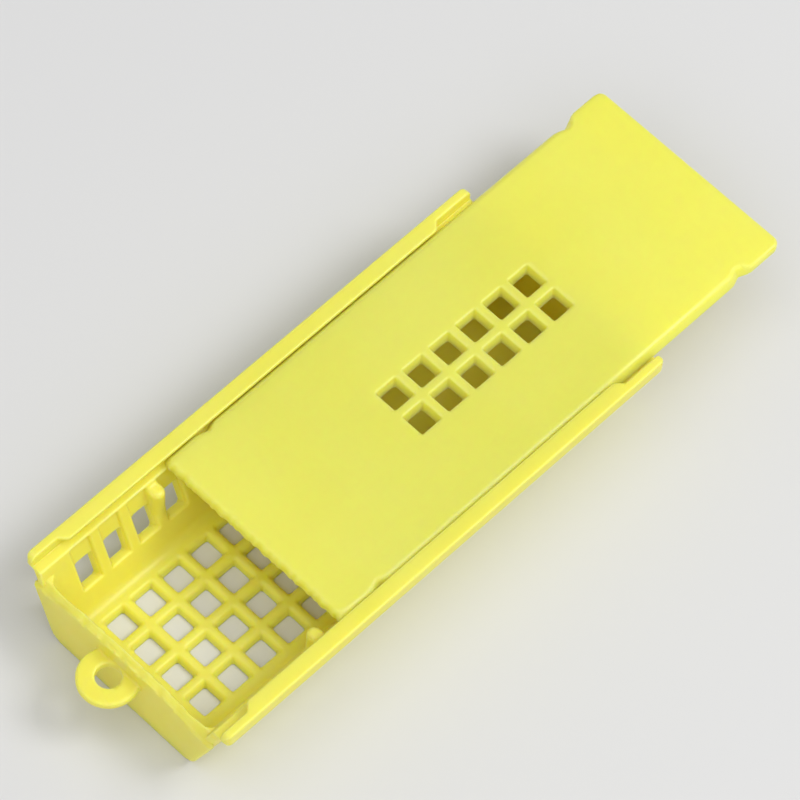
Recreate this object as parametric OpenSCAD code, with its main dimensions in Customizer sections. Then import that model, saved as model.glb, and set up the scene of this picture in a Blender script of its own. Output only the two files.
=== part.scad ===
// Queen cage: an open moulded tray with a grille floor, and a flat vented lid
// that slides under the lips of the tray's two rails.
// Origin: centre of the tray's flat base. +X is the way the lid is drawn out,
// +Z is up, and the hanging ear is at the -X end.

/* [Tray] */
// Length of the tray's rails
tray_l = 79.4; // [76:0.2:84]
// Width of the tray over its rails
tray_w = 36.6; // [36:0.1:38]
// Height from the base to the top of the rails
tray_h = 14.1; // [13.8:0.1:15]
// Width of the flat base
base_w = 25.1; // [24:0.1:26]
// Thickness of the floor
floor_t = 1.3; // [1:0.1:1.8]
// Thickness of the side walls, measured level
wall_t = 1.8; // [1.5:0.1:2.2]
// Lean of the side walls away from upright, in degrees
wall_lean = 21; // [19:0.5:22]
// Radius of the long edges of the base
base_r = 1; // [0.4:0.1:1.4]

/* [Rails] */
// Thickness of the upright rail on each side wall
rail_t = 1.3; // [1:0.1:1.5]
// Height of the upright rail's outer face
rail_h = 2.4; // [2.2:0.1:3]
// Depth of the channel that the lid slides in, below the top of the rails
channel_h = 1.8; // [1.75:0.05:2]
// Thickness of the lip that holds the lid down
lip_t = 0.7; // [0.4:0.1:0.8]
// Reach of the lip inward from the rail
lip_reach = 0.95; // [0.7:0.05:1]
// Plain rail before the lip starts at the ear end
lip_gap_ear = 4.7; // [2:0.1:8]
// Plain rail after the lip stops at the open end
lip_gap_open = 6.5; // [2:0.1:9]
// Length of the lip's slanted ends
lip_run = 1; // [0.4:0.1:2]
// Radius of the rails' outer corners, seen from above
rail_r = 0.9; // [0.3:0.1:1.2]

/* [End walls] */
// Thickness of the end walls
end_t = 1.1; // [0.8:0.1:1.6]
// Height of the end walls, below the path of the lid
end_h = 11.6; // [11:0.1:11.9]
// How far the end walls stand out past the ends of the rails
end_over = 0.4; // [0:0.1:0.8]
// Radius of the end walls' outer top edge
end_r = 0.9; // [0.4:0.1:1]

/* [Grille and windows] */
// Distance between hole centres, along and across the tray
hole_pitch = 5; // [4.8:0.1:5]
// Side of the square floor holes
hole_w = 3.3; // [2.8:0.1:3.6]
// Number of floor holes along the tray
hole_columns = 9; // [5:1:10]
// Number of windows along each side wall
window_count = 4; // [1:1:4]
// Height of the windows' lower edge above the base
window_z = 4.8; // [4.4:0.1:5.4]
// Height of the windows
window_h = 4.2; // [3.6:0.1:5]
// Depth of the pocket around and above each window, on the inside of the wall
pocket_d = 0.55; // [0.3:0.05:0.7]
// Thickness of the ledge over the pockets
pocket_roof = 0.5; // [0.3:0.1:1]
// Radius of the guide posts on the side walls
post_r = 1; // [0.8:0.1:1.1]

/* [Hanging ear] */
// Outer radius of the ear
ear_r = 4.2; // [3.8:0.05:4.6]
// Radius of the hole in the ear
ear_hole_r = 1.75; // [1.3:0.05:1.75]
// Distance from the end wall's outer face to the hole's centre
ear_reach = 1.85; // [1.85:0.05:2.6]
// Distance of the hole's centre from the tray's centre plane
ear_side = 0.6; // [-1:0.1:1]
// Thickness of the ear
ear_t = 1.2; // [1:0.1:1.8]
// Height of the ear's top face
ear_top = 8.5; // [6:0.1:10]

/* [Lid] */
// Length of the lid
lid_l = 81; // [78:0.5:84]
// Thickness of the lid
lid_t = 1.5; // [1.3:0.05:1.6]
// Inward slope of the lid's long edges, from bottom to top
lid_bevel = 0.85; // [0.8:0.05:1]
// Gap between the lid's long edge and the rail
lid_side_gap = 0.6; // [0.5:0.05:0.65]
// Gap between the lid and the ledge that it slides on
lid_under_gap = 0.1; // [0.05:0.05:0.15]
// Radius of the lid's corners, seen from above
lid_r = 0.8; // [0.3:0.1:1.2]
// How far the lid is drawn out of the tray at rest
lid_out = 22.4; // [0:0.1:40]
// Number of vents along the lid
vents_along = 6; // [1:1:8]
// Number of vents across the lid
vents_across = 2; // [1:1:4]
// Distance between vent centres
vent_pitch = 4.88; // [4.7:0.02:5.2]
// Side of the vents at the underside
vent_w = 2.7; // [2.2:0.05:3]
// Widening of each side of a vent from the underside to the top face
vent_flare = 0.5; // [0.1:0.05:0.6]
// Distance from the lid's ends to the notches in its long edges
notch_in = 7.4; // [5:0.1:12]
// Width of the notches
notch_w = 2.5; // [1.5:0.1:3]
// Depth of the notches
notch_d = 0.55; // [0.3:0.05:0.7]

/* [Hidden] */
lemon = [0.93, 0.91, 0.36];
pale_lemon = [0.95, 0.93, 0.42];
// Overrun of cutting shapes past the faces that they cut
over = 1;
round_fn = 64;
corner_steps = 6;

ledge_z = tray_h - channel_h;
rail_z = tray_h - rail_h;
rail_in = tray_w / 2 - rail_t;
end_out = tray_l / 2 + end_over;
// The first column of holes and windows keeps a fixed distance from the ear end
first_column = -tray_l / 2 + 6.95;
floor_rows = [-1.5, -0.5, 0.5, 1.5] * hole_pitch;
post_x = column_x(2) + hole_pitch / 2;
post_y = rail_in - 2.8;
post_foot = 5.5;
post_top = ledge_z - 0.6;
lid_half_w = rail_in - lid_side_gap;
lid_x = -end_out + 0.2 + lid_out + lid_l / 2;
lid_z = ledge_z + lid_under_gap;
bevel_angle = atan(lid_bevel / lid_t);

// Half widths of the side walls' outer and inner faces at height z
function outer_y(z) = base_w / 2 + z * tan(wall_lean);
function inner_y(z) = outer_y(z) - wall_t;
// Centre of a column of holes, counted from 0 at the ear end
function column_x(i) = first_column + i * hole_pitch;
// A half outline and its reflection, joined into one closed outline
function both_halves(half) =
    concat(half, [for (i = [len(half) - 1:-1:0]) [-half[i][0], half[i][1]]]);
// Rounded long edge of the base, from the flat base up to the leaning wall
function base_corner() =
    let (inset = base_r * tan((90 - wall_lean) / 2))
    [for (i = [0:corner_steps])
        let (a = -90 + i * (90 - wall_lean) / corner_steps)
        [base_w / 2 - inset + base_r * cos(a), base_r + base_r * sin(a)]];

// Draws its children on both sides of the centre plane
module both_sides() {
    children();
    mirror([0, 1, 0]) children();
}

// Extrudes a flat outline of [y, z] points along X
module along_x(from, to) {
    translate([from, 0, 0]) rotate([90, 0, 90]) linear_extrude(height = to - from) children();
}

// Upright block with rounded corners, seen from above
module rounded_block(length, width, height, radius) {
    linear_extrude(height = height) {
        square([length - 2 * radius, width], center = true);
        square([length, width - 2 * radius], center = true);
        for (x = [-1, 1], y = [-1, 1])
            translate([x * (length / 2 - radius), y * (width / 2 - radius)])
                circle(r = radius, $fn = round_fn);
    }
}

// Floor, leaning walls, ledges and rails: one cross-section all along
module trough() {
    half = concat(base_corner(), [
        [outer_y(rail_z), rail_z],
        [tray_w / 2, rail_z],
        [tray_w / 2, tray_h],
        [rail_in, tray_h],
        [rail_in, ledge_z],
        [inner_y(ledge_z), ledge_z],
        [inner_y(floor_t), floor_t]
    ]);
    intersection() {
        along_x(-tray_l / 2, tray_l / 2) polygon(both_halves(half));
        rounded_block(tray_l, tray_w, tray_h, rail_r);
    }
}

// Thin lip that overhangs the lid's edge along one rail
module lip() {
    start = -tray_l / 2 + lip_gap_ear;
    stop = tray_l / 2 - lip_gap_open;
    root = rail_in + rail_t / 2;
    edge = rail_in - lip_reach;
    translate([0, 0, tray_h - lip_t]) linear_extrude(height = lip_t) polygon([
        [start, root],
        [start, rail_in],
        [start + lip_run, edge],
        [stop - lip_run, edge],
        [stop, rail_in],
        [stop, root]
    ]);
}

// End wall at the +X end, with a rounded outer top edge
module end_wall() {
    half = concat(base_corner(), [[outer_y(end_h), end_h]]);
    difference() {
        along_x(end_out - end_t, end_out) polygon(both_halves(half));
        translate([end_out - end_r, -tray_w / 2, end_h - end_r]) difference() {
            cube([end_r + over, tray_w, end_r + over]);
            translate([0, -over, 0]) rotate([-90, 0, 0])
                cylinder(r = end_r, h = tray_w + 2 * over, $fn = round_fn);
        }
    }
}

// Half-round guide post on one side wall, with a web back to the wall
module post() {
    translate([post_x, post_y, post_foot]) {
        cylinder(r = post_r, h = post_top - post_foot, $fn = round_fn);
        translate([-post_r, 0, 0])
            cube([2 * post_r, outer_y(post_foot) - post_y + wall_t, post_top - post_foot]);
    }
}

// Everything on the inner side of the side walls' mid-planes, which trims the posts' webs
module within_side_walls() {
    half = [
        [outer_y(0) - wall_t / 2, 0],
        [outer_y(tray_h) - wall_t / 2, tray_h]
    ];
    along_x(-tray_l / 2, tray_l / 2) polygon(both_halves(half));
}

// Window through one side wall, and the pocket around it
module window(i) {
    x = column_x(i) - hole_w / 2;
    pocket_top = ledge_z - pocket_roof;
    translate([x, inner_y(0), window_z]) cube([hole_w, tray_w / 2, window_h]);
    along_x(x, x + hole_w) polygon([
        [inner_y(window_z) - over, window_z],
        [inner_y(window_z) + pocket_d, window_z],
        [inner_y(pocket_top) + pocket_d, pocket_top],
        [inner_y(window_z) - over, pocket_top]
    ]);
}

// Places its children on the ear's hole axis, at the ear's underside
module at_ear() {
    translate([-end_out - ear_reach, ear_side, ear_top - ear_t]) children();
}

// Flat ring that stands out from the ear-end wall and ends inside that wall
module ear() {
    at_ear() intersection() {
        cylinder(r = ear_r, h = ear_t, $fn = round_fn);
        translate([-ear_r, -ear_r, 0])
            cube([ear_r + ear_reach + end_t / 2, 2 * ear_r, ear_t]);
    }
}

module floor_holes() {
    for (i = [0:hole_columns - 1], y = floor_rows)
        translate([column_x(i) - hole_w / 2, y - hole_w / 2, -over])
            cube([hole_w, hole_w, floor_t + 2 * over]);
}

module cage_body() {
    color(lemon) difference() {
        union() {
            trough();
            end_wall();
            mirror([1, 0, 0]) end_wall();
            ear();
            both_sides() lip();
            intersection() {
                both_sides() post();
                within_side_walls();
            }
        }
        floor_holes();
        both_sides() for (i = [0:window_count - 1]) window(i);
        at_ear() translate([0, 0, -over])
            cylinder(r = ear_hole_r, h = ear_t + 2 * over, $fn = round_fn);
    }
}

// Square vent that widens evenly from the underside to the top face
module vent() {
    past_face = vent_flare * over / lid_t;
    side = vent_w / 2 + vent_flare + past_face;
    outline = both_halves([
        [vent_w / 2 - past_face, -over],
        [side, lid_t + over]
    ]);
    intersection() {
        along_x(-side, side) polygon(outline);
        rotate([0, 0, 90]) along_x(-side, side) polygon(outline);
    }
}

// V notch, cut square to the lid's bevelled edge on the +Y side
module notch(x) {
    reach = notch_w / 2 * (1 + over / notch_d);
    translate([x, lid_half_w, 0]) rotate([bevel_angle, 0, 0])
        translate([0, 0, -2 * lid_t]) linear_extrude(height = 4 * lid_t)
            polygon([[-reach, over], [0, -notch_d], [reach, over]]);
}

module sliding_lid() {
    section = both_halves([
        [lid_half_w, 0],
        [lid_half_w - lid_bevel, lid_t]
    ]);
    color(pale_lemon) translate([lid_x, 0, lid_z]) difference() {
        intersection() {
            along_x(-lid_l / 2, lid_l / 2) polygon(section);
            rounded_block(lid_l, 2 * lid_half_w, lid_t, lid_r);
        }
        for (i = [0:vents_along - 1], j = [0:vents_across - 1])
            translate([
                (i - (vents_along - 1) / 2) * vent_pitch,
                (j - (vents_across - 1) / 2) * vent_pitch,
                0
            ])
                vent();
        both_sides() for (x = [-1, 1] * (lid_l / 2 - notch_in)) notch(x);
    }
}

cage_body();
sliding_lid();
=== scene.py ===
"""Queen cage: soft-edged moulded shells for the tray and its sliding lid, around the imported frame.

Each moulding is described by a distance function in millimetres, negative inside the plastic.
A surface net over a fitted grid turns it into one closed mesh of quads.
"""
import math

import bpy
import numpy as np
from mathutils import Matrix, Vector


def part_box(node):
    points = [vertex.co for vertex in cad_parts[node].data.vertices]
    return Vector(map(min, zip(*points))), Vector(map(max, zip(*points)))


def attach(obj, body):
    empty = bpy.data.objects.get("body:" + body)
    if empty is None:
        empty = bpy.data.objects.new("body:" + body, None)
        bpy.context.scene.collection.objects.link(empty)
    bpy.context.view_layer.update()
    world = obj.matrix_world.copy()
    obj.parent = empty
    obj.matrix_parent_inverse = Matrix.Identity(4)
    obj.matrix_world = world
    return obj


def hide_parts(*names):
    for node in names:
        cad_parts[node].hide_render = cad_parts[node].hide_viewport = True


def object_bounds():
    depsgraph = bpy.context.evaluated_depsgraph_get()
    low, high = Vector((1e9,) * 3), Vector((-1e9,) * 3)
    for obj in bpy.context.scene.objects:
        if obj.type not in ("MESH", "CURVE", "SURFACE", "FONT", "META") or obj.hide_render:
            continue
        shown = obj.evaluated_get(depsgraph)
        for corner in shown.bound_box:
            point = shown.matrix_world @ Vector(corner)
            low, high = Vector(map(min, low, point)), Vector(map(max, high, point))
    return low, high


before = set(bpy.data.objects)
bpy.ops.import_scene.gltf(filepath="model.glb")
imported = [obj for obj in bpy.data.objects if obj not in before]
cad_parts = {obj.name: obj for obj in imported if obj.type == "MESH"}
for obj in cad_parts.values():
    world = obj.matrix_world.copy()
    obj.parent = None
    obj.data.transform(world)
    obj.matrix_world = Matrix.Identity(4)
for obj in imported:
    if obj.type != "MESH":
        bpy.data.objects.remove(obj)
cad_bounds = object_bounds()

MM = 0.001


def node_box_mm(node):
    """Lowest and highest corner of a CAD node, in millimetres."""
    low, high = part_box(node)
    return np.array(low) / MM, np.array(high) / MM


BODY_LOW, BODY_HIGH = node_box_mm("cage_body")
LID_LOW, LID_HIGH = node_box_mm("sliding_lid")

# Every length below is in millimetres, unless its comment says metres.

# Roundings that many edges share
SHARP_R = 0.06
CRISP_R = 0.2
SOFT_R = 0.3
BROAD_R = 0.45

# Tray
TRAY_TOP = BODY_HIGH[2]
TRAY_HALF_W = BODY_HIGH[1]
END_OUT = BODY_HIGH[0]
RAIL_END = END_OUT - 0.4
BASE_HALF_W = 12.55
LEAN = math.radians(21)
FLOOR_T = 1.3
WALL_T = 1.8
RAIL_IN = TRAY_HALF_W - 1.3
RAIL_BOTTOM = TRAY_TOP - 2.4
LEDGE_Z = TRAY_TOP - 1.8
LIP_BOTTOM = TRAY_TOP - 0.7
LIP_EDGE = RAIL_IN - 1.05
LIP_START = -RAIL_END + 4.7
LIP_STOP = RAIL_END - 6.5
LIP_RUN = 1.0
END_TOP = LEDGE_Z - 0.7
END_IN = END_OUT - 1.1
BASE_EDGE_R = 1.5
RAIL_CORNER_R = 1.1
CAVITY_CORNER_R = 2.0
FLOOR_CORNER_R = 1.0
LEDGE_EDGE_R = 0.25
END_EDGE_R = 0.1
LIP_EDGE_R = 0.18
LIP_FILLET_R = 0.12

# Uneven trim of the end walls' top edge: how far it slopes outward, and how it dips towards the corners
TRIM_DROP = 0.75
DIP_LOW_Y = 2.4
DIP_HIGH_Y = 1.4
DIP_HALF_W = 14
DIP_IN_CROWN = 0.5
DIP_IN_DROP = 0.45

# Grille, windows and posts
PITCH = 5.0
HOLE_HALF = 1.65
HOLE_DRAFT = 0.25
HOLE_REACH = 3
COLUMNS = 9
ROWS = 4
WINDOWS = 4
FIRST_COLUMN = -RAIL_END + 6.95
FIRST_ROW = -PITCH * (ROWS - 1) / 2
WINDOW_LOW = 4.8
WINDOW_HIGH = 9.0
WINDOW_INNER = 11
WINDOW_EDGE_R = 0.4
SILL_DROP = 0.25
SILL_SLOPE = 0.3
JAMB_SLOPE = 0.3
POCKET_D = 0.55
POCKET_TOP = LEDGE_Z - 0.5
POST_X = FIRST_COLUMN + 2.5 * PITCH
POST_Y = RAIL_IN - 2.8
POST_R = 1.05
POST_TOP = LEDGE_Z - 0.5
POST_BOTTOM = 5.5
POST_DOME_R = 0.7

# Hanging ear
EAR_R = 4.2
EAR_X = BODY_LOW[0] + EAR_R
EAR_Y = 0.6
EAR_HOLE_R = 1.75
EAR_TOP = 8.5
EAR_T = 1.2
EAR_EDGE_R = 0.35
EAR_FILLET_R = 0.4

# Lid
LID_X = (LID_LOW[0] + LID_HIGH[0]) / 2
LID_Z = LID_LOW[2]
LID_HALF_L = (LID_HIGH[0] - LID_LOW[0]) / 2
LID_HALF_W = LID_HIGH[1]
LID_T = LID_HIGH[2] - LID_LOW[2]
LID_BEVEL = 0.8
LID_CORNER_R = 1.2
VENT_PITCH = 4.88
VENT_HALF = 1.3
VENT_FLARE = 0.55
VENTS_ALONG = 6
VENTS_ACROSS = 2
NOTCH_X = LID_HALF_L - 7.4
NOTCH_HALF = 1.25
NOTCH_D = 0.55
NOTCH_ROOT_R = 0.15
BEVEL_STOP = NOTCH_X + 1.7
BEVEL_FADE = 0.8

# Worn ear end of the lid: how far it runs, and what the wear adds to the roundings
WORN_RUN = 3
WORN_EDGE_R = 0.45
WORN_CORNER_R = -0.3
RAGGED_D = 0.07

# Grid: its margin round a moulding, and marks for the tray's inner face, lips, outer face and rails.
# Those four are taken at the underside, before the grid leans outward with the side walls.
GRID_MARGIN = 0.5
GRID_HALF_W = 15.4
LEANING_MARKS = (10.6, 11.4, 12.5, 13.8)
LEAN_START = 9.7
LEAN_RUN = 0.7
LEAST_STEP = 0.6
STEP_ROUNDING = 0.01

# Lid's grid: its margin above and below, and marks beside the notches and just inside the long edges
LID_FACE_MARGIN = 0.4
NOTCH_MARK = 0.8
LID_EDGE_MARK = 0.12
LID_BEVEL_MARK = 0.9

# Moving the net's points onto the surface, and the limit of the sharpness kept on them
SETTLE_STEPS = 4
LEAST_SLOPE_SQUARED = 0.25
LONGEST_MOVE = 0.2
TINY = 1e-9
SHARPEST = 2

# Plastic: the edge sharpness at which the painted highlight on outer edges and their duller gloss begin and
# are full, and the heights of its bumps in metres
WEAR_AND_HIGHLIGHT_BEGINS = 0.2
WEAR_AND_HIGHLIGHT_FULL = 1.4
RIPPLE_HEIGHT = 0.00004
GRAIN_HEIGHT = 0.000006

# Stage, in metres: the floor lies a hair below the tray, so their faces don't flicker
FLOOR_SPAN = 30
FLOOR_GAP = 0.00002

# Reference view, with its distance and its shift from the centre in metres
VIEW_AZIMUTH = math.radians(-49.63)
VIEW_ELEVATION = math.radians(59.86)
VIEW_ROLL = math.radians(5.02)
VIEW_DISTANCE = 0.777
VIEW_SHIFT = (0.0049, 0.0039, 0)


# ---------------------------------------------------------------- distance functions

def band(u, low, high):
    """Distance to the slab between low and high."""
    return np.maximum(low - u, u - high)


def meet(a, b, r):
    """The part common to a and b, with the edge between them rounded to radius r."""
    return np.minimum(-r, np.maximum(a, b)) + np.hypot(np.maximum(a + r, 0), np.maximum(b + r, 0))


def join(a, b, r):
    """a and b together, with a fillet of radius r between them."""
    return -meet(-a, -b, r)


def cut(a, b, r):
    """a without b, with the edge that b leaves rounded to radius r."""
    return meet(a, -b, r)


def lean_face(s, z, half_at_base):
    """Distance to a wall face that leans outward with height. s is the distance from the centre plane."""
    return (s - half_at_base - z * math.tan(LEAN)) * math.cos(LEAN)


def nearest_step(u, first, step, count):
    """u measured from the nearest of count places, a step apart, the first one at first."""
    i = np.clip(np.round((u - first) / step), 0, count - 1)
    return u - first - i * step


def end_wall_top(x, y, z):
    """The space below the end walls' top edge, which slopes outward unevenly and dips at the corners."""
    s = np.abs(y)
    ends = np.abs(x)
    dip = np.where(y < 0, DIP_LOW_Y, DIP_HIGH_Y) * np.clip(s / DIP_HALF_W, 0, 1) ** 3
    ripple = 0.14 * np.sin(1.9 * y + 0.8) + 0.09 * np.sin(3.7 * y)
    crown = END_TOP - DIP_IN_CROWN * dip
    drop = TRIM_DROP + DIP_IN_DROP * dip + ripple
    reach = END_OUT - END_IN
    shoulder = ((ends - END_OUT) * drop + (z - crown + drop) * reach) / np.hypot(drop, reach)
    return meet(shoulder, z - crown, CRISP_R)


def tray_distance(x, y, z):
    """The tray moulding."""
    s = np.abs(y)
    ends = np.abs(x)
    leaning = lean_face(s, z, BASE_HALF_W)
    inner = lean_face(s, z, BASE_HALF_W - WALL_T)

    # Block with leaning sides under a rail that stands out
    walls = np.maximum(meet(leaning, -z, BASE_EDGE_R), z - LEDGE_Z)
    rails = meet(s - TRAY_HALF_W, band(z, RAIL_BOTTOM, TRAY_TOP), SOFT_R)
    block = meet(join(walls, rails, CRISP_R), ends - RAIL_END, RAIL_CORNER_R)

    # Its inside: a cavity with closed ends, the path of the lid over them, and the channel in the rails
    top = end_wall_top(x, y, z)
    cavity = meet(inner, ends - END_IN, CAVITY_CORNER_R)
    cavity = meet(cavity, FLOOR_T - z, FLOOR_CORNER_R)
    over_ends = np.maximum(inner, -top)
    channel = meet(s - RAIL_IN, LEDGE_Z - z, CRISP_R)
    inside = join(np.minimum(cavity, over_ends), channel, LEDGE_EDGE_R)

    # Outer skins of the end walls, proud of the rails' ends
    skin = meet(leaning, -z, BASE_EDGE_R)
    skin = meet(skin, band(ends, (END_IN + END_OUT) / 2, END_OUT), SOFT_R)
    skin = np.maximum(skin, top)
    trough = cut(np.minimum(block, skin), inside, np.where(ends > END_IN, END_EDGE_R, SOFT_R))

    # Lips, with slanted ends
    run = LIP_RUN / (RAIL_IN - LIP_EDGE)
    slant = math.hypot(1, run)
    start = (LIP_START + (RAIL_IN - s) * run - x) / slant
    stop = (x - LIP_STOP + (RAIL_IN - s) * run) / slant
    lips = meet(LIP_EDGE - s, band(z, LIP_BOTTOM, TRAY_TOP), LIP_EDGE_R)
    lips = meet(lips, np.maximum(start, stop), SOFT_R)
    lips = np.maximum(lips, s - (RAIL_IN + TRAY_HALF_W) / 2)
    trough = join(trough, lips, LIP_FILLET_R)
    solid = np.maximum(trough, z - TRAY_TOP)

    # Hanging ear
    ear = np.hypot(x - EAR_X, y - EAR_Y) - EAR_R
    ear = meet(ear, band(z, EAR_TOP - EAR_T, EAR_TOP), EAR_EDGE_R)
    ear = np.maximum(ear, x + (END_OUT + END_IN) / 2)
    solid = join(solid, ear, EAR_FILLET_R)
    bore = np.hypot(x - EAR_X, y - EAR_Y) - EAR_HOLE_R
    bore = np.maximum(bore, x + END_OUT)
    solid = cut(solid, bore, CRISP_R)

    # Grille in the floor: holes wider towards the top, between ribs with rounded tops
    u = np.abs(nearest_step(x, FIRST_COLUMN, PITCH, COLUMNS))
    v = np.abs(nearest_step(y, FIRST_ROW, PITCH, ROWS))
    half = HOLE_HALF + HOLE_DRAFT * (2 * z / FLOOR_T - 1)
    hole = meet(u - half, v - half, SOFT_R)
    hole = np.maximum(hole, z - HOLE_REACH)
    solid = cut(solid, hole, np.where(z < FLOOR_T / 2, SHARP_R, BROAD_R))

    # Windows in the side walls, with sloping sills and jambs, each at the bottom of a pocket under the ledge
    u = np.abs(nearest_step(x, FIRST_COLUMN, PITCH, WINDOWS)) - HOLE_HALF
    sill = WINDOW_LOW - SILL_DROP - SILL_SLOPE * leaning
    jamb = u + JAMB_SLOPE * inner
    window = meet(jamb, np.maximum(sill - z, z - WINDOW_HIGH), SOFT_R)
    window = np.maximum(window, band(s, WINDOW_INNER, TRAY_HALF_W + 1))
    pocket = meet(inner - POCKET_D, np.maximum(sill - z, z - POCKET_TOP), CRISP_R)
    pocket = meet(pocket, u, CRISP_R)
    pocket = np.maximum(pocket, WINDOW_INNER - s)
    solid = cut(solid, np.minimum(window, pocket), WINDOW_EDGE_R)

    # Guide posts with domed tops
    post = np.hypot(x - POST_X, s - POST_Y) - POST_R
    web = np.maximum(np.abs(x - POST_X) - POST_R, POST_Y - s)
    post = meet(np.minimum(post, web), z - POST_TOP, POST_DOME_R)
    post = np.maximum(post, inner - WALL_T / 2)
    post = np.maximum(post, POST_BOTTOM - z)
    return join(solid, post, BROAD_R)


def lid_distance(x, y, z):
    """The sliding lid. Its long edges are bevelled as far as the notches near the open end."""
    along = np.abs(x - LID_X)
    s = np.abs(y)
    up = z - LID_Z
    slope = LID_BEVEL / LID_T * np.clip((BEVEL_STOP - (x - LID_X)) / BEVEL_FADE, 0, 1)
    across = s + up * slope
    edge = (across - LID_HALF_W) / np.hypot(1, slope)

    # The ear end is worn softer than the rest, and its cut edge is ragged
    wear_and_painted_highlight = np.clip(1 - (x - LID_LOW[0]) / WORN_RUN, 0, 1)
    waves = 2 + np.sin(2.3 * y + 1) * np.sin(0.9 * y) + np.sin(4.1 * y + np.sin(1.7 * y))
    ragged = RAGGED_D * wear_and_painted_highlight * waves
    plan = meet(edge, along - LID_HALF_L + ragged, LID_CORNER_R + WORN_CORNER_R * wear_and_painted_highlight)

    # Notches in the long edges
    steep = NOTCH_D / NOTCH_HALF
    u = np.hypot(along - NOTCH_X, NOTCH_ROOT_R) - NOTCH_ROOT_R
    notch = (LID_HALF_W - NOTCH_D + u * steep - across) / math.hypot(1, steep)
    plan = cut(plan, notch, CRISP_R)
    slab = meet(plan, up - LID_T, BROAD_R + WORN_EDGE_R * wear_and_painted_highlight)
    slab = meet(slab, -up, CRISP_R)

    # Vents, wider towards the top face
    u = np.abs(nearest_step(x - LID_X, -VENT_PITCH * (VENTS_ALONG - 1) / 2, VENT_PITCH, VENTS_ALONG))
    v = np.abs(nearest_step(y, -VENT_PITCH * (VENTS_ACROSS - 1) / 2, VENT_PITCH, VENTS_ACROSS))
    half = VENT_HALF + VENT_FLARE * up / LID_T
    vent = meet(u - half, v - half, SOFT_R)
    return cut(slab, vent, np.where(up < LID_T / 2, SHARP_R, CRISP_R))


# ---------------------------------------------------------------- surface net

def grid_lines(low, high, marks, fine, reach, coarse):
    """Grid coordinates from low to high, close together around each mark and further apart between them."""
    offsets = np.arange(-reach + fine / 2, reach, fine)
    near = (np.asarray(marks, float)[:, None] + offsets).ravel()
    near = np.sort(np.append(near[(near > low) & (near < high)], [low, high]))
    kept = [near[0]]
    for u in near[1:]:
        if u - kept[-1] > fine * LEAST_STEP:
            kept.append(u)
    lines = []
    for a, b in zip(kept, kept[1:]):
        steps = max(1, math.ceil((b - a) / coarse - STEP_ROUNDING))
        lines += [a + (b - a) * i / steps for i in range(steps)]
    return np.array(lines + [kept[-1]])


def gradient(shape, p, h=0.01):
    """Gradient of the distance function at each point, by central differences of step h."""
    g = np.empty_like(p)
    for axis in range(3):
        step = np.zeros(3)
        step[axis] = h
        g[:, axis] = (shape(*(p + step).T) - shape(*(p - step).T)) / (2 * h)
    return g


def surface_net(shape, x, y, z):
    """Points, quads and normals of the closed surface where shape is zero, on a grid with those corners."""
    corners = np.stack([x, y, z], axis=-1)
    f = shape(x, y, z)
    inside = f < 0
    cells = np.array(f.shape) - 1
    owners, crossings, quads = [], [], []
    for axis in range(3):
        head = [slice(None)] * 3
        tail = [slice(None)] * 3
        head[axis], tail[axis] = slice(0, -1), slice(1, None)
        head, tail = tuple(head), tuple(tail)
        edge = np.argwhere(inside[head] != inside[tail])
        far = edge.copy()
        far[:, axis] += 1
        fa, fb = f[tuple(edge.T)], f[tuple(far.T)]
        t = (fa / (fa - fb))[:, None]
        at = corners[tuple(edge.T)] * (1 - t) + corners[tuple(far.T)] * t
        b, c = (axis + 1) % 3, (axis + 2) % 3
        ring = []
        for db, dc in ((0, 0), (1, 0), (1, 1), (0, 1)):
            cell = edge.copy()
            cell[:, b] -= db
            cell[:, c] -= dc
            ring.append(np.ravel_multi_index(tuple(cell.T), tuple(cells)))
            owners.append(ring[-1])
            crossings.append(at)
        quad = np.stack(ring, axis=1)
        outward = inside[tuple(edge.T)]
        quad[~outward] = quad[~outward][:, ::-1]
        quads.append(quad)
    owners, crossings = np.concatenate(owners), np.concatenate(crossings)
    used, point_of = np.unique(owners, return_inverse=True)
    count = np.bincount(point_of)
    p = np.stack([np.bincount(point_of, crossings[:, k]) / count for k in range(3)], axis=1)
    for _ in range(SETTLE_STEPS):
        g = gradient(shape, p)
        move = -shape(*p.T)[:, None] * g / np.maximum((g * g).sum(1), LEAST_SLOPE_SQUARED)[:, None]
        length = np.linalg.norm(move, axis=1)[:, None]
        p += move * np.minimum(1, LONGEST_MOVE / np.maximum(length, TINY))
    g = gradient(shape, p)
    normals = g / np.maximum(np.linalg.norm(g, axis=1), TINY)[:, None]
    return p, np.searchsorted(used, np.concatenate(quads)), normals


def edge_sharpness(shape, p, h=0.25):
    """How convex the surface is at each point: above 0 on an outer edge, below 0 in a hollow."""
    total = -6 * shape(*p.T)
    for axis in range(3):
        step = np.zeros(3)
        step[axis] = h
        total = total + shape(*(p + step).T) + shape(*(p - step).T)
    return np.clip(total / h, -SHARPEST, SHARPEST)


def moulding(name, shape, x, y, z):
    """Blender object of one moulding, in metres, with its edge sharpness stored on its points."""
    p, quads, normals = surface_net(shape, x, y, z)
    mesh = bpy.data.meshes.new(name)
    mesh.from_pydata((p * MM).tolist(), [], quads.tolist())
    mesh.validate()
    mesh.polygons.foreach_set("use_smooth", [True] * len(mesh.polygons))
    mesh.normals_split_custom_set_from_vertices(normals.tolist())
    edge = mesh.attributes.new("edge_sharpness", "FLOAT", "POINT")
    edge.data.foreach_set("value", edge_sharpness(shape, p).astype(np.float32))
    mesh.update()
    obj = bpy.data.objects.new(name, mesh)
    bpy.context.collection.objects.link(obj)
    print(f"{name}: {len(p)} points, {len(quads)} quads")
    return obj


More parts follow.
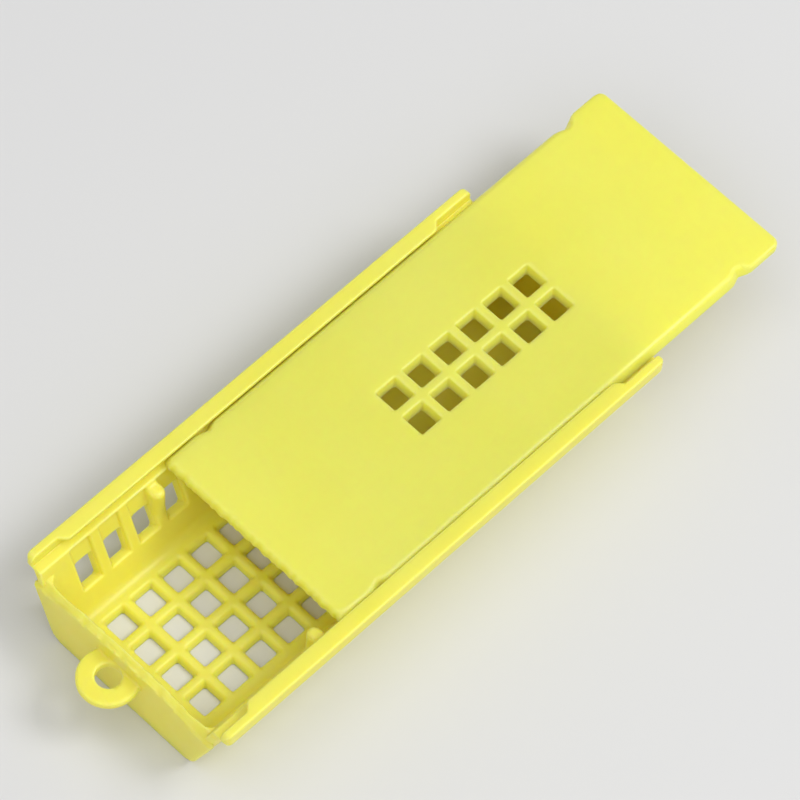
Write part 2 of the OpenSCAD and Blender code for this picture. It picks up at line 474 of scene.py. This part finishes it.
def tray_grid():
    """Grid corners that follow the tray, and lean with its side walls."""
    columns = FIRST_COLUMN + PITCH * np.arange(COLUMNS)
    rows = FIRST_ROW + PITCH * np.arange(ROWS)
    leaning = np.array(LEANING_MARKS)
    x = grid_lines(
        BODY_LOW[0] - GRID_MARGIN, BODY_HIGH[0] + GRID_MARGIN,
        [-END_OUT, -END_IN, END_IN, END_OUT, LIP_START, LIP_START + LIP_RUN, LIP_STOP - LIP_RUN, LIP_STOP,
         EAR_X - EAR_R, EAR_X - EAR_HOLE_R, *(columns - HOLE_HALF), *(columns + HOLE_HALF)],
        fine=0.2, reach=0.5, coarse=0.8)
    v = grid_lines(
        -GRID_HALF_W, GRID_HALF_W,
        [*(rows - HOLE_HALF), *(rows + HOLE_HALF), *-leaning, *leaning],
        fine=0.2, reach=0.5, coarse=0.7)
    z = grid_lines(
        -GRID_MARGIN, TRAY_TOP + GRID_MARGIN,
        [0, FLOOR_T, WINDOW_LOW, WINDOW_HIGH, EAR_TOP - EAR_T, EAR_TOP,
         END_TOP, LEDGE_Z, LIP_BOTTOM, TRAY_TOP],
        fine=0.18, reach=0.45, coarse=0.6)
    x, v, z = np.meshgrid(x, v, z, indexing="ij")
    share = np.clip((np.abs(v) - LEAN_START) / LEAN_RUN, 0, 1)
    lean = share * np.clip(z, 0, RAIL_BOTTOM) * math.tan(LEAN)
    return x, v + np.sign(v) * lean, z


def lid_grid():
    """Grid corners that follow the lid."""
    along = VENT_PITCH * (np.arange(VENTS_ALONG) - (VENTS_ALONG - 1) / 2)
    across = VENT_PITCH * (np.arange(VENTS_ACROSS) - (VENTS_ACROSS - 1) / 2)
    half = VENT_HALF + VENT_FLARE / 2
    x = LID_X + grid_lines(
        -LID_HALF_L - GRID_MARGIN, LID_HALF_L + GRID_MARGIN,
        [-LID_HALF_L, LID_HALF_L, *(along - half), *(along + half),
         -NOTCH_X - NOTCH_MARK, -NOTCH_X, -NOTCH_X + NOTCH_MARK,
         NOTCH_X - NOTCH_MARK, NOTCH_X, NOTCH_X + NOTCH_MARK],
        fine=0.18, reach=0.54, coarse=1.2)
    y = grid_lines(
        -LID_HALF_W - GRID_MARGIN, LID_HALF_W + GRID_MARGIN,
        [*(across - half), *(across + half), -LID_HALF_W + LID_EDGE_MARK, LID_HALF_W - LID_EDGE_MARK,
         -LID_HALF_W + LID_BEVEL_MARK, LID_HALF_W - LID_BEVEL_MARK],
        fine=0.18, reach=0.54, coarse=0.3)
    z = LID_Z + grid_lines(
        -LID_FACE_MARGIN, LID_T + LID_FACE_MARGIN, [0, LID_T], fine=0.15, reach=0.45, coarse=0.3)
    return np.meshgrid(x, y, z, indexing="ij")


# ---------------------------------------------------------------- material

def plastic(name, scatter, colour, deep_tone_and_shade, pale):
    """Slightly translucent satin moulded plastic, mottled, with painted shade in hollows, a painted
    highlight on outer edges and fine mould grain.
    """
    mat = bpy.data.materials.new(name)
    mat.use_nodes = True
    tree = mat.node_tree
    nodes, links = tree.nodes, tree.links
    shader = nodes["Principled BSDF"]
    shader.inputs["IOR"].default_value = 1.5
    shader.inputs["Subsurface Weight"].default_value = 1.0
    shader.inputs["Subsurface Radius"].default_value = (1.0, 0.8, 0.08)
    shader.inputs["Subsurface Scale"].default_value = scatter

    coords = nodes.new("ShaderNodeTexCoord").outputs["Object"]

    def noise(scale, detail):
        n = nodes.new("ShaderNodeTexNoise")
        n.inputs["Scale"].default_value = scale
        n.inputs["Detail"].default_value = detail
        links.new(coords, n.inputs["Vector"])
        return n.outputs["Fac"]

    def remap(value, from_low, from_high, to_low, to_high):
        m = nodes.new("ShaderNodeMapRange")
        m.inputs["From Min"].default_value = from_low
        m.inputs["From Max"].default_value = from_high
        m.inputs["To Min"].default_value = to_low
        m.inputs["To Max"].default_value = to_high
        links.new(value, m.inputs["Value"])
        return m.outputs["Result"]

    def blend_colour(factor, a, b):
        m = nodes.new("ShaderNodeMix")
        m.data_type = "RGBA"
        links.new(factor, m.inputs["Factor"])
        for key, colour_or_socket in (("A", a), ("B", b)):
            socket = next(i for i in m.inputs if i.name == key and i.type == "RGBA")
            if isinstance(colour_or_socket, tuple):
                socket.default_value = (*colour_or_socket, 1)
            else:
                links.new(colour_or_socket, socket)
        return next(o for o in m.outputs if o.type == "RGBA")

    def add(a, b):
        m = nodes.new("ShaderNodeMath")
        m.operation = "ADD"
        links.new(a, m.inputs[0])
        links.new(b, m.inputs[1])
        return m.outputs[0]

    attribute = nodes.new("ShaderNodeAttribute")
    attribute.attribute_name = "edge_sharpness"
    edge = attribute.outputs["Fac"]

    # Clouds of a deeper colour as the plastic's own uneven tone, painted shade in the hollows in that deeper
    # colour, and a painted highlight that makes outer edges paler
    cloud = remap(noise(scale=55, detail=3), 0.35, 0.68, 0, 0.5)
    base = blend_colour(cloud, colour, deep_tone_and_shade)
    # Painted shade: hollows and creases are blended towards the deeper colour
    hollow = remap(edge, -0.2, -1.2, 0, 0.5)
    base = blend_colour(hollow, base, deep_tone_and_shade)
    # Painted highlight: outer edges are blended towards the paler colour
    wear_and_painted_highlight = remap(edge, WEAR_AND_HIGHLIGHT_BEGINS, WEAR_AND_HIGHLIGHT_FULL, 0, 0.55)
    base = blend_colour(wear_and_painted_highlight, base, pale)
    links.new(base, shader.inputs["Base Color"])

    # Satin gloss, uneven, and duller on worn edges
    haze = remap(noise(scale=240, detail=4), 0.3, 0.7, 0.30, 0.44)
    rub = remap(edge, WEAR_AND_HIGHLIGHT_BEGINS, WEAR_AND_HIGHLIGHT_FULL, 0, 0.08)
    links.new(add(haze, rub), shader.inputs["Roughness"])

    # Slight waviness with fine grain
    ripple = remap(noise(scale=120, detail=2), 0, 1, 0, RIPPLE_HEIGHT)
    grain = remap(noise(scale=2600, detail=2), 0, 1, 0, GRAIN_HEIGHT)
    bump = nodes.new("ShaderNodeBump")
    bump.inputs["Strength"].default_value = 0.6
    bump.inputs["Distance"].default_value = 1.0
    links.new(add(ripple, grain), bump.inputs["Height"])
    links.new(bump.outputs["Normal"], shader.inputs["Normal"])
    return mat


def floor_material():
    """Plain pale studio floor."""
    mat = bpy.data.materials.new("pale_floor")
    mat.use_nodes = True
    shader = mat.node_tree.nodes["Principled BSDF"]
    shader.inputs["Base Color"].default_value = (0.7, 0.7, 0.7, 1)
    shader.inputs["Roughness"].default_value = 0.7
    return mat


# ---------------------------------------------------------------- stage, camera and light

def make_floor(low, high):
    """Plain pale floor under the object."""
    centre = (low + high) / 2
    size = FLOOR_SPAN * (high - low).length
    level = low.z - FLOOR_GAP
    mesh = bpy.data.meshes.new("floor")
    signs = ((-1, -1), (1, -1), (1, 1), (-1, 1))
    corners = [(centre.x + a * size, centre.y + b * size, level) for a, b in signs]
    mesh.from_pydata(corners, [], [(0, 1, 2, 3)])
    floor = bpy.data.objects.new("floor", mesh)
    bpy.context.collection.objects.link(floor)
    floor.data.materials.append(floor_material())


def make_camera(low, high):
    """Long-lens camera at the reference view: from the ear end, the -Y side and high up, rolled a little."""
    aim = (low + high) / 2 + Vector(VIEW_SHIFT)
    back = Vector((
        math.sin(VIEW_AZIMUTH) * math.cos(VIEW_ELEVATION),
        -math.cos(VIEW_AZIMUTH) * math.cos(VIEW_ELEVATION),
        math.sin(VIEW_ELEVATION)))
    level = Vector((math.cos(VIEW_AZIMUTH), math.sin(VIEW_AZIMUTH), 0))
    upright = back.cross(level)
    right = math.cos(VIEW_ROLL) * level + math.sin(VIEW_ROLL) * upright
    up = back.cross(right)
    data = bpy.data.cameras.new("camera")
    data.lens = 270
    data.sensor_width = 36
    data.clip_start = 0.05
    data.clip_end = 20
    camera = bpy.data.objects.new("camera", data)
    turn = Matrix((right, up, back)).transposed().to_4x4()
    camera.matrix_world = Matrix.Translation(aim + back * VIEW_DISTANCE) @ turn
    bpy.context.collection.objects.link(camera)
    bpy.context.scene.camera = camera


def soft_light(name, centre, direction, distance, size, power):
    """Square area light that faces the centre from that direction."""
    data = bpy.data.lights.new(name, "AREA")
    data.size = size
    data.energy = power
    light = bpy.data.objects.new(name, data)
    direction = Vector(direction).normalized()
    light.location = centre + direction * distance
    light.rotation_mode = "QUATERNION"
    light.rotation_quaternion = direction.to_track_quat("Z", "Y")
    bpy.context.collection.objects.link(light)


def make_lights(low, high):
    """Pale surroundings, a very large soft box above the ear end and a weak key from above the open end."""
    world = bpy.data.worlds.new("studio")
    world.use_nodes = True
    background = world.node_tree.nodes["Background"]
    background.inputs["Color"].default_value = (1, 1, 1, 1)
    background.inputs["Strength"].default_value = 0.4
    bpy.context.scene.world = world
    centre = (low + high) / 2
    soft_light("overhead", centre, direction=(-0.35, -0.3, 1.0), distance=1.3, size=2.0, power=12.5)
    soft_light("key", centre, direction=(0.6, -0.6, 1.0), distance=1.0, size=0.4, power=4.0)
    scene = bpy.context.scene
    scene.view_settings.view_transform = "Standard"
    scene.cycles.diffuse_bounces = 16
    scene.cycles.max_bounces = 32


# ---------------------------------------------------------------- build

low, high = cad_bounds
make_camera(low, high)
make_lights(low, high)
make_floor(low, high)

tray = moulding("tray_moulding", tray_distance, *tray_grid())
# The deeper colour serves the clouds and the painted shade in hollows; the pale colour is the painted
# highlight on outer edges
tray.data.materials.append(plastic(
    "tray_plastic", scatter=0.0015,
    colour=(0.86, 0.81, 0.13), deep_tone_and_shade=(0.84, 0.77, 0.07), pale=(0.91, 0.88, 0.28)))
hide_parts("cage_body")
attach(tray, "cage_body")

lid = moulding("lid_moulding", lid_distance, *lid_grid())
# The deeper colour serves the clouds and the painted shade in hollows; the pale colour is the painted
# highlight on outer edges
lid.data.materials.append(plastic(
    "lid_plastic", scatter=0.005,
    colour=(0.89, 0.82, 0.13), deep_tone_and_shade=(0.86, 0.78, 0.09), pale=(0.94, 0.90, 0.25)))
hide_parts("sliding_lid")
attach(lid, "sliding_lid")
